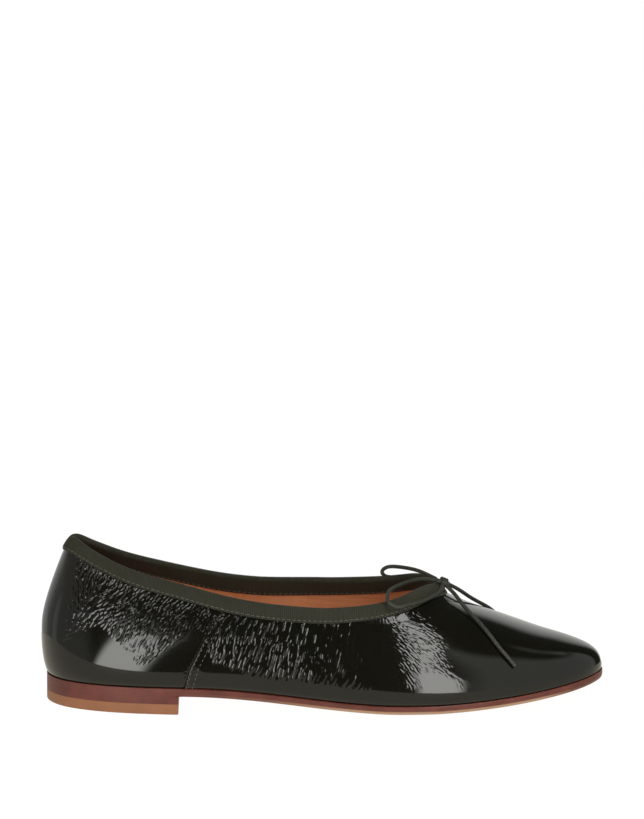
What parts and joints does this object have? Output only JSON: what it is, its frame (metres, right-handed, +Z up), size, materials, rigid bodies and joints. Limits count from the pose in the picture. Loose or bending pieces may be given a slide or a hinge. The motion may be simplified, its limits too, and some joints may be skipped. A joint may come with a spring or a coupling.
{
  "type": "ballet flat",
  "caption": "Right-foot round-toe ballet flat in crinkled patent leather, with a ribbon-bound top edge, a thin cord bow, a leather sole and a low stacked heel.",
  "frame": {"origin": "centre of the shoe's box, at the floor that heel and forefoot stand on", "axes": "+X towards the toe, +Y towards the inner side of the foot, +Z up"},
  "size_m": [0.2502, 0.0805, 0.0741],
  "materials": {
    "patent_leather": "dark olive crinkled patent, high gloss",
    "grosgrain_ribbon": "olive grosgrain, matte, fine ribs",
    "lining_leather": "tan lining leather, satin",
    "stained_sole_leather": "red-brown stained and burnished edge",
    "plain_sole_leather": "tan stacked leather, satin",
    "cord_leather": "olive round leather cord, matte"
  },
  "bodies": {
    "root": {"upper": "patent_leather", "collar_binding": "grosgrain_ribbon", "insole": "lining_leather", "outsole": "stained_sole_leather", "heel_lift": "stained_sole_leather", "heel_top_piece": "plain_sole_leather", "bow_knot": "cord_leather", "bow_loop_outer": "cord_leather", "bow_loop_inner": "cord_leather", "bow_end_outer": "cord_leather", "bow_end_inner": "cord_leather"}
  },
  "joints": []
}
